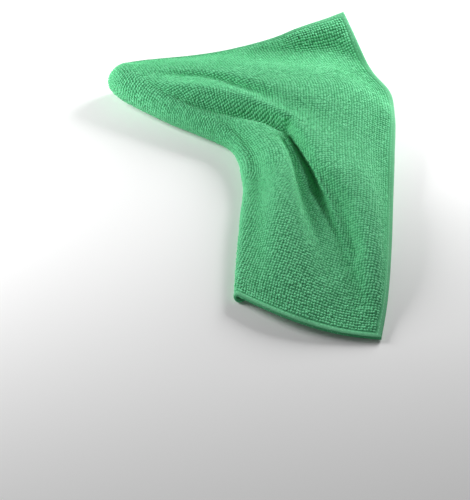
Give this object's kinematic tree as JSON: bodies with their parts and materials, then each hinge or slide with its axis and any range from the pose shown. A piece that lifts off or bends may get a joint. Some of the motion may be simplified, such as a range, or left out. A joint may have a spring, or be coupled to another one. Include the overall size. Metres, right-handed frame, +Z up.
{
  "type": "microfibre cloth",
  "caption": "Square microfibre cleaning cloth with a short knobbly pile and a plain stitched hem, lying loosely folded under itself in soft diagonal folds.",
  "frame": {"origin": "centre of the folded cloth's outline in plan, on the surface it lies on", "axes": "+X towards the hem on the right, +Y from the bottom hem towards the raised back corner, +Z up from the surface"},
  "size_m": [0.1972, 0.2942, 0.0374],
  "materials": {
    "microfibre": "matt green knit with a short, dense, knobbly microfibre pile and a smooth stitched hem"
  },
  "bodies": {
    "root": {"cloth": "microfibre"}
  },
  "joints": []
}
